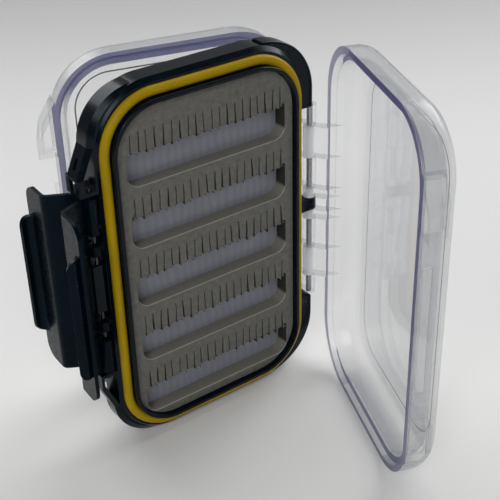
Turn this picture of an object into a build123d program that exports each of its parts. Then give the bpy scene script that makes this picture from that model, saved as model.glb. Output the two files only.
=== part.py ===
from build123d import *
import math
import os

# Fly box: a framed body with foam on both faces, a clear lid over each face
# hinged on one shared pin, and one latch lever per lid on the opposite side.
# Millimetres. +Z up, hinge on the +X side, latches on the -X side, front -Y.
# Every front piece is drawn closed and turned to its rest angle at the end.

HEIGHT = 125.0
WIDTH = 75.8
THICKNESS = 9.4
MID_Z = HEIGHT / 2

# rest angles, degrees open
FRONT_LID_OPEN = 68.1
REAR_LID_OPEN = 14.1
FRONT_LATCH_OPEN = 66.5
REAR_LATCH_OPEN = 61.0

# body frame
BODY_HALF_X = WIDTH / 2
BODY_HALF_Y = THICKNESS / 2
BODY_CORNER = 19.5
BODY_EDGE = 1.4
WEB_HALF = 0.5
BORDER_X = 5.6
BORDER_Z = 6.6
POCKET_HALF_X = BODY_HALF_X - BORDER_X
POCKET_HALF_Z = MID_Z - BORDER_Z
POCKET_CORNER = BODY_CORNER - 5.0
RIM_TOP = BODY_HALF_Y + 3.2
RIM_BEAD_TALL = 0.9
RIM_WALL_X = 0.9
RIM_WALL_Z = 1.15
RIM_BEAD = 1.3
RIM_BEAD_ROUND = 0.4

# gasket cord and its channel, against the rim wall
CORD_R = 1.6
CORD_PLAY = 0.05
CORD_HALF_X = POCKET_HALF_X + RIM_WALL_X + CORD_R + CORD_PLAY
CORD_HALF_Z = POCKET_HALF_Z + RIM_WALL_Z + CORD_R + CORD_PLAY
CORD_CORNER = POCKET_CORNER + RIM_WALL_X + CORD_R
CORD_Y = BODY_HALF_Y + CORD_PLAY

# foam and backing
BACKING = 0.5
FOAM_FACE = BODY_HALF_Y + 1.3
FOAM_PLAY = 0.05
SLOT_LEFT = 3.8 - POCKET_HALF_X
SLOT_RIGHT = POCKET_HALF_X - 3.3
SLOT_CORNER = 4.0
SLOT_TOP_CORNER = 1.0
SLOT_COUNT = 5
SLOT_MARGIN = 3.3
SLOT_TOP_MARGIN = 14.3
SLOT_LAND = 10.05
SLOT_PITCH = (2 * POCKET_HALF_Z - SLOT_MARGIN - SLOT_TOP_MARGIN + SLOT_LAND) / SLOT_COUNT
SLOT_FIRST_Z = MID_Z - POCKET_HALF_Z + SLOT_MARGIN

# hinge
HINGE_X = BODY_HALF_X + 6.1
HINGE_PIN_R = 1.0
KNUCKLE_R = 2.25
KNUCKLE_BORE = HINGE_PIN_R + 0.05
BUMPER_X = HINGE_X - 1.0
BUMPER_HALF_Y = BODY_HALF_Y - 1.7
BUMPER_Z = HEIGHT - BODY_CORNER - 6.3
BUMPER_EDGE = 0.8
BUMPER_OVERLAP = 2.0
# knuckles stacked outward from the middle tab, the last filling up to the bumper
TAB_HALF_Z = 2.0
KNUCKLE_GAP = 0.4
FRONT_SHORT = 3.3
REAR_LONG = 11.0
FRONT_LONG = 11.2
FRONT_SHORT_AT = TAB_HALF_Z + KNUCKLE_GAP
REAR_LONG_AT = FRONT_SHORT_AT + FRONT_SHORT + KNUCKLE_GAP
FRONT_LONG_AT = REAR_LONG_AT + REAR_LONG + KNUCKLE_GAP
REAR_END_AT = FRONT_LONG_AT + FRONT_LONG + KNUCKLE_GAP
HINGE_END = BUMPER_Z - MID_Z - KNUCKLE_GAP
FRONT_KNUCKLES = ((FRONT_SHORT_AT, FRONT_SHORT_AT + FRONT_SHORT),
                  (FRONT_LONG_AT, FRONT_LONG_AT + FRONT_LONG))
REAR_KNUCKLES = ((REAR_LONG_AT, REAR_LONG_AT + REAR_LONG), (REAR_END_AT, HINGE_END))

# latch side of the body
RECESS_DROP = 11.3
RECESS_TOP = HEIGHT - BODY_CORNER - RECESS_DROP
LUG_HALF_Y = BODY_HALF_Y - 0.7
LUG_FLOOR = 1.2
LUG_WALL = 1.0
LUG_RIB = 1.6
LUG_OUT_X = -BODY_HALF_X - 5.4
LUG_OUT_Z = RECESS_TOP + 5.6
LUG_TURN_X = -BODY_HALF_X - 1.3
LUG_TURN_Z = HEIGHT - BODY_CORNER + 3.4
LUG_START_DEG = 76.0
LUG_BULGE = 4.3
LUG_BEVEL_Y = 1.2
LUG_BEVEL = 1.7
EYELET_HALF_Y = 0.65
EYELET_Z = LUG_OUT_Z + 2.1
EYELET_TALL = 3.2
LANYARD_HALF_Y = 1.65
LANYARD_TALL = 3.5

# latch pins and the barrels on them
PIN_X = -BODY_HALF_X - 1.9
PIN_R = 0.75
PIN_WALL = 0.55
PIN_Y = LUG_HALF_Y - PIN_WALL - PIN_R
PIN_END = 1.0
PIN_TOP = RECESS_TOP + LUG_FLOOR + PIN_END
BARREL_SPLIT = 0.6
BARREL_R = PIN_Y - BARREL_SPLIT
BARREL_BORE = PIN_R + 0.05
BARREL_CLEAR = 0.3
RECESS_X = PIN_X + BARREL_R + BARREL_CLEAR

# middle block, joined to the frame by a neck between two grooves
BLOCK_X = LUG_OUT_X + 0.9
BLOCK_HALF_Z = 8.2
BLOCK_HALF_Y = LUG_HALF_Y - 0.05
BLOCK_EDGE = 0.6
GROOVE_WALL = 0.35
NECK_HALF_Y = 1.3

# lids
LID_LATCH_X = -BODY_HALF_X - 0.9
LID_HINGE_X = BODY_HALF_X + 2.1
LID_CORNER = BODY_CORNER + 0.5
LID_RIM_Y = BODY_HALF_Y + 0.1
LID_DEPTH = 12.0
LID_FACE_Y = LID_RIM_Y + LID_DEPTH
LID_SHOULDER = 7.5
CORD_CLEAR = 0.3
LIP_CLEAR_X = CORD_HALF_X + CORD_R + CORD_CLEAR
LIP_CLEAR_Z = CORD_HALF_Z + CORD_R + CORD_CLEAR
STEP_Y = CORD_Y + CORD_R + CORD_CLEAR
RIM_WIDTH = 4.4
PANEL = 1.8
PANEL_BLEND = 4.6
WINDOW_INSET_X = 9.0
WINDOW_INSET_Z = 10.2
WINDOW_CORNER = 12.0
WINDOW_LINE = 0.6
WINDOW_DEEP = 0.25
KNUCKLE_ROOT_Y = LID_RIM_Y + 5.7
CATCH_X = LID_LATCH_X - 1.5
CATCH_NEAR_Y = LID_RIM_Y + 1.2
CATCH_FAR_Y = LID_RIM_Y + 4.2
CATCH_HALF_Z = 21.5
CATCH_EDGE = 0.5
EAR_Y = LID_RIM_Y + 6.5
EAR_WALL = 1.4
EAR_X = LID_LATCH_X - 6.0
EAR_SLANT = 2.4
EAR_CLEAR = 0.3
EAR_TURN = 6.8
EAR_RISE = 11.1
EAR_LOW_Z = RECESS_TOP + EAR_CLEAR
EAR_TURN_Z = EAR_LOW_Z + EAR_TURN
EAR_TOP_Z = EAR_TURN_Z + EAR_RISE

# latch levers, their barrels stacked outward from the block
LEVER_TOP = RECESS_TOP - 0.8
LEVER_HALF_Z = LEVER_TOP - MID_Z
ARM_AT = BLOCK_HALF_Z + 3.6
ARM_TALL = 3.4
BARREL_AT = ARM_AT + ARM_TALL + 3.6
BARRELS = ((ARM_AT, ARM_AT + ARM_TALL), (BARREL_AT, LEVER_HALF_Z))
LEVER_T = 1.2
LEVER_OFFSET = 1.4
LEVER_START = 3.2
LEVER_CLEAR = 0.25
FOLD_DEG = 63.0
FOLD_R = 1.8
FLAP = 11.0
FLAP_CORNER = 4.8
LIP = 4.6
LIP_TURN_DEG = 110.0
LIP_R = 2.8
LIP_HALF_Z = CATCH_HALF_Z - 0.7
LIP_CORNER = 3.2
HOOK_GAP = 0.3
HOOK_TALL = 1.2
HOOK_DEEP = 1.15

OVER = 1.0


def block(x0, x1, y0, y1, z0, z1):
    """Box between two corners."""
    solid = Box(x1 - x0, y1 - y0, z1 - z0, align=(Align.MIN, Align.MIN, Align.MIN))
    return Pos(x0, y0, z0) * solid


def prism(sketch, y0, y1):
    """Sketch drawn in X and Z, standing from y0 to y1."""
    return extrude(Plane.XZ.offset(-y1) * sketch, y1 - y0, dir=(0, -1, 0))


def column(sketch, z0, z1):
    """Sketch drawn in X and Y, standing from z0 to z1."""
    return extrude(Plane.XY.offset(z0) * sketch, z1 - z0, dir=(0, 0, 1))


def panel(x0, x1, z0, z1, corner, y0, y1):
    """Rounded rectangle standing from y0 to y1."""
    sketch = Pos((x0 + x1) / 2, (z0 + z1) / 2) * RectangleRounded(x1 - x0, z1 - z0, corner)
    return prism(sketch, y0, y1)


def centred_panel(half_x, half_z, corner, y0, y1):
    """Rounded rectangle about the middle of the box."""
    return panel(-half_x, half_x, MID_Z - half_z, MID_Z + half_z, corner, y0, y1)


def outline(points, y0, y1):
    """Polygon of X and Z points standing from y0 to y1."""
    return prism(Polygon(*points, align=None), y0, y1)


def above_and_below(pairs):
    """Heights of spans drawn outward from the middle, and of their mirror images."""
    upper = [(MID_Z + low, MID_Z + high) for low, high in pairs]
    lower = [(MID_Z - high, MID_Z - low) for low, high in pairs]
    return upper + lower


def both_faces(solid):
    """A front solid and its mirror image behind."""
    return solid + mirror(solid, about=Plane.XZ)


def both_ends(solid):
    """An upper solid and its mirror image below."""
    return solid + mirror(solid, about=Plane.XY.offset(MID_Z))


# ---------------------------------------------------------------- body
def lug_outline():
    """Lug seen from the front, its sloped wall rounded into the frame's corner."""
    angle = math.radians(LUG_START_DEG)
    top = (BODY_CORNER - BODY_HALF_X - BODY_CORNER * math.cos(angle),
           HEIGHT - BODY_CORNER + BODY_CORNER * math.sin(angle))
    low = RECESS_TOP - LUG_BEVEL
    turn = (LUG_TURN_X, LUG_TURN_Z)
    sides = Polyline(top, (-POCKET_HALF_X, low), (LUG_OUT_X, low), (LUG_OUT_X, LUG_OUT_Z), turn)
    return make_face(sides + SagittaArc(turn, top, LUG_BULGE))


def lug():
    """Upper lug outside the frame, bevelled to both faces above its square foot."""
    flat_y = LUG_HALF_Y - LUG_BEVEL_Y
    angle = math.degrees(math.atan2(LUG_BEVEL, LUG_BEVEL_Y))
    bevel = extrude(Plane.XZ.offset(flat_y) * lug_outline(), LUG_BEVEL_Y, taper=angle)
    solid = prism(lug_outline(), -flat_y, flat_y) + both_faces(bevel)
    foot = block(LUG_OUT_X, -BODY_HALF_X, -LUG_HALF_Y, LUG_HALF_Y, RECESS_TOP, LUG_OUT_Z)
    keep = block(LUG_OUT_X, 0, -LUG_HALF_Y, LUG_HALF_Y, RECESS_TOP, HEIGHT)
    return (solid & keep) + foot


def lug_window():
    """Opening through the lug, its outer sides parallel to the lug's walls."""
    x_out = LUG_OUT_X + LUG_WALL
    x_in = -BODY_HALF_X
    floor_z = RECESS_TOP + LUG_FLOOR
    run = LUG_TURN_X - LUG_OUT_X
    rise = LUG_TURN_Z - LUG_OUT_Z
    x_rib = LUG_OUT_X + LUG_RIB * math.hypot(run, rise) / rise
    corner_z = LUG_OUT_Z + (x_out - x_rib) * rise / run
    top_z = LUG_OUT_Z + (x_in - x_rib) * rise / run
    points = ((x_in, floor_z), (x_out, floor_z), (x_out, corner_z), (x_in, top_z))
    return outline(points, -LUG_HALF_Y - OVER, LUG_HALF_Y + OVER)


def eyelet():
    """Slot through the sloped wall of the lug into its window."""
    return block(LUG_OUT_X - OVER, -BODY_HALF_X, -EYELET_HALF_Y, EYELET_HALF_Y,
                 EYELET_Z, EYELET_Z + EYELET_TALL)


def lanyard_hole():
    """Opening through the upright wall of the lug into its window."""
    floor_z = RECESS_TOP + LUG_FLOOR
    return block(LUG_OUT_X - OVER, LUG_OUT_X + LUG_WALL, -LANYARD_HALF_Y, LANYARD_HALF_Y,
                 floor_z, floor_z + LANYARD_TALL)


def bumper():
    """Corner nose beside the hinge, blended into the top of the frame."""
    left = BUMPER_X - 2 * BODY_CORNER - BUMPER_OVERLAP
    nose = panel(left, BUMPER_X, 0, HEIGHT, BODY_CORNER, -BUMPER_HALF_Y, BUMPER_HALF_Y)
    keep = block(BUMPER_X - BODY_CORNER, BUMPER_X + OVER, -BODY_HALF_Y, BODY_HALF_Y, BUMPER_Z, HEIGHT)
    nose = nose & keep
    edges = nose.edges().filter_by(Axis.Z).group_by(Axis.X)[-1]
    return fillet(edges, BUMPER_EDGE)


def hinge_tab():
    """Middle tab that holds the hinge pin."""
    section = Pos(HINGE_X, 0) * Circle(KNUCKLE_R)
    section += Pos(BODY_HALF_X - OVER, -KNUCKLE_R) * Rectangle(
        HINGE_X - BODY_HALF_X + OVER, 2 * KNUCKLE_R, align=(Align.MIN, Align.MIN))
    return column(section, MID_Z - TAB_HALF_Z, MID_Z + TAB_HALF_Z)


def pin_block():
    """Middle block of the latch side that both latch pins cross, on its neck."""
    low = MID_Z - BLOCK_HALF_Z
    high = MID_Z + BLOCK_HALF_Z
    solid = block(BLOCK_X, RECESS_X + OVER, -BLOCK_HALF_Y, BLOCK_HALF_Y, low, high)
    solid = chamfer(solid.edges().filter_by(Axis.Z).group_by(Axis.X)[0], BLOCK_EDGE)
    groove = block(PIN_X + PIN_R + GROOVE_WALL, RECESS_X, -BLOCK_HALF_Y, -NECK_HALF_Y, low, high)
    return solid - both_faces(groove)


def rim_wall():
    """Wall round the front pocket with a bead along its top."""
    base = centred_panel(POCKET_HALF_X + RIM_WALL_X, POCKET_HALF_Z + RIM_WALL_Z,
                         POCKET_CORNER + RIM_WALL_X, -RIM_TOP, 0)
    bead = centred_panel(POCKET_HALF_X + RIM_BEAD, POCKET_HALF_Z + RIM_BEAD,
                         POCKET_CORNER + RIM_BEAD, -RIM_TOP, -RIM_TOP + RIM_BEAD_TALL)
    bead = fillet(bead.faces().sort_by(Axis.Y)[0].edges(), RIM_BEAD_ROUND)
    low = block(-BODY_HALF_X, BODY_HALF_X, -RIM_TOP + RIM_BEAD_TALL / 2, 0, 0, HEIGHT)
    return (base & low) + bead


def front_cuts():
    """Foam pocket and gasket channel of the front face."""
    pocket = centred_panel(POCKET_HALF_X, POCKET_HALF_Z, POCKET_CORNER, -RIM_TOP - OVER, -WEB_HALF)
    gap = CORD_R + CORD_PLAY
    wide = centred_panel(CORD_HALF_X + gap, CORD_HALF_Z + gap, CORD_CORNER + gap,
                         -BODY_HALF_Y - OVER, -(CORD_Y - CORD_R - CORD_PLAY))
    core = centred_panel(POCKET_HALF_X + RIM_WALL_X, POCKET_HALF_Z + RIM_WALL_Z,
                         POCKET_CORNER + RIM_WALL_X, -RIM_TOP, 0)
    return pocket, wide - core


def body_frame():
    """The whole moulded frame."""
    solid = centred_panel(BODY_HALF_X, MID_Z, BODY_CORNER, -BODY_HALF_Y, BODY_HALF_Y)
    faces = solid.faces().sort_by(Axis.Y)
    solid = chamfer(faces[0].edges() + faces[-1].edges(), BODY_EDGE)
    recess = block(LUG_OUT_X, RECESS_X, -THICKNESS, THICKNESS, HEIGHT - RECESS_TOP, RECESS_TOP)
    solid = solid - recess
    solid = solid + both_ends(lug() - lug_window() - eyelet() - lanyard_hole())
    solid = solid + both_ends(bumper()) + hinge_tab() + pin_block()
    pocket, channel = front_cuts()
    solid = solid - both_faces(channel)
    solid = solid + both_faces(rim_wall())
    solid = solid - both_faces(pocket)
    solid = solid - hinge_pin()
    for pin in (front_latch_pin(), mirror(front_latch_pin(), about=Plane.XZ)):
        solid = solid - pin
    return solid


def hinge_pin():
    """Pin through every knuckle of the hinge."""
    return column(Pos(HINGE_X, 0) * Circle(HINGE_PIN_R), MID_Z - HINGE_END, MID_Z + HINGE_END)


def front_latch_pin():
    """Pin of the front latch, between the two lugs."""
    return column(Pos(PIN_X, -PIN_Y) * Circle(PIN_R), HEIGHT - PIN_TOP, PIN_TOP)


# ---------------------------------------------------------------- soft pieces
def front_backing():
    """Thin white sheet under the foam."""
    return centred_panel(POCKET_HALF_X - FOAM_PLAY, POCKET_HALF_Z - FOAM_PLAY,
                         POCKET_CORNER, -WEB_HALF - BACKING, -WEB_HALF)


def foam_slot(row):
    """One long slot, its lower corners rounder than its upper ones."""
    low = SLOT_FIRST_Z + row * SLOT_PITCH
    sketch = Pos(SLOT_LEFT, low) * Rectangle(
        SLOT_RIGHT - SLOT_LEFT, SLOT_PITCH - SLOT_LAND, align=(Align.MIN, Align.MIN))
    sketch = fillet(sketch.vertices().group_by(Axis.Y)[0], SLOT_CORNER)
    sketch = fillet(sketch.vertices().group_by(Axis.Y)[-1], SLOT_TOP_CORNER)
    return prism(sketch, -FOAM_FACE - OVER, 0)


def front_foam():
    """Foam sheet with its rows of slots."""
    sheet = centred_panel(POCKET_HALF_X - FOAM_PLAY, POCKET_HALF_Z - FOAM_PLAY,
                          POCKET_CORNER, -FOAM_FACE, -WEB_HALF - BACKING)
    for row in range(SLOT_COUNT):
        sheet = sheet - foam_slot(row)
    return sheet


def front_gasket():
    """Round cord lying in the channel."""
    path = Pos(0, MID_Z) * RectangleRounded(2 * CORD_HALF_X, 2 * CORD_HALF_Z, CORD_CORNER)
    wire = (Plane.XZ.offset(CORD_Y) * path).wire()
    start = wire @ 0
    ring = Plane(origin=start, z_dir=wire % 0) * Circle(CORD_R)
    return sweep(ring, path=wire)


# ---------------------------------------------------------------- lids
def knuckle(span):
    """One front knuckle with its arm from the side wall of the lid."""
    x_in = LID_HINGE_X - OVER
    foot = KNUCKLE_R * 0.9
    arm = Polygon((HINGE_X - foot, -OVER), (x_in, -LID_RIM_Y), (x_in, -KNUCKLE_ROOT_Y),
                  (LID_HINGE_X, -KNUCKLE_ROOT_Y), (HINGE_X + foot, -OVER), align=None)
    section = Pos(HINGE_X, 0) * Circle(KNUCKLE_R) + arm
    section = section - Pos(HINGE_X, 0) * Circle(KNUCKLE_BORE)
    return column(section, span[0], span[1])


def catch_bar():
    """Bar on the side wall that the latch hook passes over."""
    solid = block(CATCH_X, LID_LATCH_X + OVER, -CATCH_FAR_Y, -CATCH_NEAR_Y,
                  MID_Z - CATCH_HALF_Z, MID_Z + CATCH_HALF_Z)
    return fillet(solid.edges().filter_by(Axis.Z).group_by(Axis.X)[0], CATCH_EDGE)


def ear_outline():
    """Ear seen from the front, its top sloping in to the lid."""
    x_in = LID_LATCH_X + OVER
    points = ((x_in, EAR_LOW_Z), (EAR_X, EAR_LOW_Z), (EAR_X, EAR_TURN_Z), (x_in, EAR_TOP_Z))
    return Polygon(*points, align=None)


def ear_slant(x_out):
    """Wedge off the outer side of the ear, widest at its back."""
    points = ((x_out, -LID_RIM_Y), (x_out - OVER, -LID_RIM_Y), (x_out - OVER, -EAR_Y))
    points += ((x_out + EAR_SLANT, -EAR_Y),)
    return column(Polygon(*points, align=None), EAR_LOW_Z, EAR_TOP_Z)


def lid_ear():
    """Hollow ear beside the latch, open towards the rim."""
    pocket_outline = offset(ear_outline(), -EAR_WALL, kind=Kind.INTERSECTION)
    solid = prism(ear_outline(), -EAR_Y, -LID_RIM_Y) - ear_slant(EAR_X)
    pocket = prism(pocket_outline, -EAR_Y + EAR_WALL, -LID_RIM_Y + OVER)
    return solid - (pocket - ear_slant(EAR_X + EAR_WALL))


def window_line():
    """Shallow line round the window on the outer face."""
    x0 = LID_LATCH_X + WINDOW_INSET_X
    x1 = LID_HINGE_X - WINDOW_INSET_X
    z0 = WINDOW_INSET_Z
    z1 = HEIGHT - WINDOW_INSET_Z
    floor = -LID_FACE_Y + WINDOW_DEEP
    line = WINDOW_LINE
    top = -LID_FACE_Y - OVER
    outer = panel(x0, x1, z0, z1, WINDOW_CORNER, top, floor)
    inner = panel(x0 + line, x1 - line, z0 + line, z1 - line, WINDOW_CORNER - line, top, floor)
    return outer - inner


def lid(knuckles):
    """A closed front lid."""
    shell = panel(LID_LATCH_X, LID_HINGE_X, 0, HEIGHT, LID_CORNER, -LID_FACE_Y, -LID_RIM_Y)
    shell = fillet(shell.faces().sort_by(Axis.Y)[0].edges(), LID_SHOULDER)
    shell = shell + catch_bar() + both_ends(lid_ear())
    for span in above_and_below(knuckles):
        shell = shell + knuckle(span)
    rim = centred_panel(LIP_CLEAR_X, LIP_CLEAR_Z, LID_CORNER - (MID_Z - LIP_CLEAR_Z),
                        -STEP_Y, -LID_RIM_Y + OVER)
    cavity = panel(LID_LATCH_X + RIM_WIDTH, LID_HINGE_X - RIM_WIDTH, RIM_WIDTH, HEIGHT - RIM_WIDTH,
                   LID_CORNER - RIM_WIDTH, -LID_FACE_Y + PANEL, -LID_RIM_Y + OVER)
    cavity = fillet(cavity.faces().sort_by(Axis.Y)[0].edges(), PANEL_BLEND)
    return shell - rim - cavity - window_line()


# ---------------------------------------------------------------- latches
def lever_plane(u, v):
    """Lever point: u away from the pin along the side wall, v outward."""
    return (PIN_X - v, -PIN_Y - u)


def turned(start, degrees, length):
    """Point reached from start, turned outward from the side wall."""
    angle = math.radians(degrees)
    return (start[0] + length * math.cos(angle), start[1] + length * math.sin(angle))


def sheet(points, radius, z0, z1):
    """Bent strip through lever points."""
    line = FilletPolyline(*[lever_plane(*p) for p in points], radius=radius)
    return column(trace(line, LEVER_T), z0, z1)


def corner_mask(start, degrees, length, half_z, corner):
    """Keeps a strip within its length and height, with its free corners rounded."""
    u_end, v_end = turned((0, 0), degrees, 1.0)
    x_dir = (-v_end, -u_end, 0)
    x0, y0 = lever_plane(*start)
    plane = Plane(origin=(x0, y0, MID_Z), x_dir=x_dir, z_dir=Vector(x_dir).cross(Vector(0, 0, 1)))
    reach = 2 * (lever_reach() + FLAP)
    sketch = Pos(length - reach, 0) * Rectangle(2 * reach, 2 * half_z)
    sketch = fillet(sketch.vertices().group_by(Axis.X)[-1], corner)
    return extrude(plane * sketch, reach, both=True)


def lever_reach():
    """Distance from pin to fold that keeps the flap clear of the lid's shoulder."""
    fold = math.radians(FOLD_DEG)
    along = LID_FACE_Y - LID_SHOULDER - PIN_Y
    across = LEVER_OFFSET + LID_LATCH_X + LID_SHOULDER - PIN_X
    gap = LID_SHOULDER + LEVER_T / 2 + LEVER_CLEAR
    return along + (gap - across * math.cos(fold)) / math.sin(fold)


def latch():
    """A closed front latch lever."""
    low = HEIGHT - LEVER_TOP
    flap_deg = -FOLD_DEG
    lip_deg = LIP_TURN_DEG - FOLD_DEG
    root = (LEVER_START, LEVER_OFFSET)
    fold = (lever_reach(), LEVER_OFFSET)
    tip = turned(fold, flap_deg, FLAP)
    mid = turned(fold, flap_deg, FLAP / 2)
    end = turned(tip, lip_deg, LIP)
    solid = sheet((root, fold, tip), FOLD_R, low, LEVER_TOP)
    solid = solid & corner_mask(fold, flap_deg, FLAP, LEVER_HALF_Z, FLAP_CORNER)
    lip = sheet((mid, tip, end), LIP_R, low, LEVER_TOP)
    solid = solid + (lip & corner_mask(tip, lip_deg, LIP, LIP_HALF_Z, LIP_CORNER))
    solid = solid + hook()
    for span in above_and_below(BARRELS):
        solid = solid + arm(span)
    return solid - column(Pos(PIN_X, -PIN_Y) * Circle(BARREL_BORE), 0, HEIGHT)


def arm(span):
    """Barrel round the pin with its web to the lever plate."""
    web = block(PIN_X - LEVER_OFFSET - LEVER_T / 2, PIN_X - LEVER_OFFSET + LEVER_T / 2,
                -PIN_Y - LEVER_START - OVER / 2, -PIN_Y, span[0], span[1])
    return column(Pos(PIN_X, -PIN_Y) * Circle(BARREL_R), span[0], span[1]) + web


def hook():
    """Rib inside the lever, just beyond the catch bar."""
    inner = PIN_X - LEVER_OFFSET + LEVER_T / 2
    near = -CATCH_FAR_Y - HOOK_GAP
    return block(inner - LEVER_T / 2, inner + HOOK_DEEP, near - HOOK_TALL, near,
                 MID_Z - CATCH_HALF_Z, MID_Z + CATCH_HALF_Z)


# ---------------------------------------------------------------- rest pose
def at_hinge(solid, degrees):
    """Turn a lid about the hinge pin."""
    return solid.rotate(Axis((HINGE_X, 0, 0), (0, 0, 1)), degrees)


def at_pin(solid, y, degrees):
    """Turn a latch about its pin."""
    return solid.rotate(Axis((PIN_X, y, 0), (0, 0, 1)), degrees)


def behind(solid):
    """Mirror image of a front piece."""
    return mirror(solid, about=Plane.XZ)


def main():
    nodes = {
        "body_frame": body_frame(),
        "front_backing": front_backing(),
        "rear_backing": behind(front_backing()),
        "front_gasket": front_gasket(),
        "rear_gasket": behind(front_gasket()),
        "front_foam": front_foam(),
        "rear_foam": behind(front_foam()),
        "hinge_pin": hinge_pin(),
        "front_latch_pin": front_latch_pin(),
        "rear_latch_pin": behind(front_latch_pin()),
        "front_lid": at_hinge(lid(FRONT_KNUCKLES), FRONT_LID_OPEN),
        "rear_lid": at_hinge(behind(lid(REAR_KNUCKLES)), -REAR_LID_OPEN),
        "front_latch": at_pin(latch(), -PIN_Y, -FRONT_LATCH_OPEN),
        "rear_latch": at_pin(behind(latch()), PIN_Y, REAR_LATCH_OPEN),
    }
    os.makedirs("parts", exist_ok=True)
    for name, solid in nodes.items():
        solid.label = name
        export_step(solid, f"parts/{name}.step")


main()
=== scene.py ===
import math
import random

import bmesh
import bpy
from mathutils import Matrix, Vector


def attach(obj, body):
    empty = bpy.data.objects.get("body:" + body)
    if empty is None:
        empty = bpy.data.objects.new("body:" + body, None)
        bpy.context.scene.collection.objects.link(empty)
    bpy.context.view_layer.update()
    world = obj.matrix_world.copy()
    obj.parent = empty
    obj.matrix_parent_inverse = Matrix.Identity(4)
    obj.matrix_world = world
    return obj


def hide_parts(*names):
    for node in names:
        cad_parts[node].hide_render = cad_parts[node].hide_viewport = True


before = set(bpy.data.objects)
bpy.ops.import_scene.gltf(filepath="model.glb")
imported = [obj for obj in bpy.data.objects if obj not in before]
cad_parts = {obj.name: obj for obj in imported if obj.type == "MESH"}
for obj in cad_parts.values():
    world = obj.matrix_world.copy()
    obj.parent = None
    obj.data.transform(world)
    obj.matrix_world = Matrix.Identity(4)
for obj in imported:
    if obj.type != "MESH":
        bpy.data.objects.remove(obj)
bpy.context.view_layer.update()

# ---------------------------------------------------------------- frame
# The body of the box is one ring moulded in glass-filled black nylon, with
# the latch lugs and blocks, the hinge tab and the two gasket channels on it.
# The mould leaves a faint grain, and the bead round each foam is polished.
BODY = "body"
MM = 0.001  # the box and all patterns are sized in mm; the floor, lamps and camera are in metres
NYLON_BLACK, NYLON_FLOW_BLACK = "#030910", "#060f17"
NYLON_ROUGH = 0.2
NYLON_SPECULAR = 0.18
NYLON_GLINT = (0.8, 0.93, 1.0, 1.0)
POLISHED_FROM = 6.3  # farther than this from the middle of the box, only the beaded rims are left
POLISHED_ROUGH = 0.08
FLOW = 11.0
FLOW_SPAN = (0.3, 0.75)
GRAIN = 0.4
GRAIN_DEEP = 0.02
GRAIN_STRENGTH = 0.02
MARKS = 3.0
MARKS_SPAN = (0.35, 0.7)
MARKS_ROUGH = (-0.04, 0.07)


def colour(code):
    """Linear RGBA of an sRGB hex code."""
    parts = [int(code[i:i + 2], 16) / 255 for i in (1, 3, 5)]
    return tuple(c / 12.92 if c <= 0.04045 else ((c + 0.055) / 1.055) ** 2.4 for c in parts) + (1.0,)


def add(tree, kind, values=None, **fields):
    """A shader node, its fields set and its sockets given values, sockets or nodes."""
    node = tree.nodes.new("ShaderNode" + kind)
    for name, value in fields.items():
        setattr(node, name, value)
    for name, value in (values or {}).items():
        if isinstance(value, bpy.types.Node):
            value = next(socket for socket in value.outputs if socket.enabled)
        if isinstance(value, bpy.types.NodeSocket):
            tree.links.new(value, node.inputs[name])
        else:
            node.inputs[name].default_value = value
    return node


def scale_of(size):
    """The scale of a pattern whose spots are a size in mm, since coordinates are in metres."""
    return 1 / (size * MM)


def new_material(name):
    """An empty node material: the material, its tree and its Object coordinates."""
    material = bpy.data.materials.new(name)
    material.use_nodes = True
    material.node_tree.nodes.clear()
    return material, material.node_tree, add(material.node_tree, "TexCoord").outputs["Object"]


def dress(names, material):
    """Gives CAD nodes a material."""
    for name in names:
        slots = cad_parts[name].data.materials
        slots.clear()
        slots.append(material)


def moulded_nylon(name, rough, specular, glint, polished_from=None):
    """Glass-filled nylon: near black with slow clouds of flow, cool glints, duller where handled.

    The mould's grain is too fine to show in the render, so it is drawn coarser, 0.4 mm wide.
    """
    material, tree, point = new_material(name)
    flow = add(tree, "TexNoise", {"Vector": point, "Scale": scale_of(FLOW), "Detail": 3.0})
    tone = add(tree, "MapRange", {"Value": flow, "From Min": FLOW_SPAN[0], "From Max": FLOW_SPAN[1]})
    base = add(tree, "Mix", {0: tone, 6: colour(NYLON_BLACK), 7: colour(NYLON_FLOW_BLACK)}, data_type="RGBA")

    marks = add(tree, "TexNoise", {"Vector": point, "Scale": scale_of(MARKS), "Detail": 4.0,
                                   "Roughness": 0.65})
    gloss = add(tree, "MapRange", {"Value": marks, "From Min": MARKS_SPAN[0], "From Max": MARKS_SPAN[1],
                                   "To Min": rough + MARKS_ROUGH[0], "To Max": rough + MARKS_ROUGH[1]})
    if polished_from:
        out = add(tree, "SeparateXYZ", {"Vector": point}).outputs["Y"]
        out = add(tree, "Math", {0: out}, operation="ABSOLUTE")
        bead = add(tree, "Math", {0: out, 1: polished_from * MM}, operation="GREATER_THAN")
        gloss = add(tree, "Mix", {0: bead, 2: gloss, 3: POLISHED_ROUGH}, data_type="FLOAT")

    grain = add(tree, "TexNoise", {"Vector": point, "Scale": scale_of(GRAIN), "Detail": 2.0,
                                   "Roughness": 0.6})
    bump = add(tree, "Bump", {"Height": grain, "Strength": GRAIN_STRENGTH, "Distance": GRAIN_DEEP * MM})
    shader = add(tree, "BsdfPrincipled", {"Base Color": base, "Roughness": gloss, "Normal": bump,
                                          "Specular IOR Level": specular, "Specular Tint": glint})
    add(tree, "OutputMaterial", {"Surface": shader})
    return material


dress(["body_frame"],
      moulded_nylon("moulded_nylon", NYLON_ROUGH, NYLON_SPECULAR, NYLON_GLINT, POLISHED_FROM))

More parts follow.
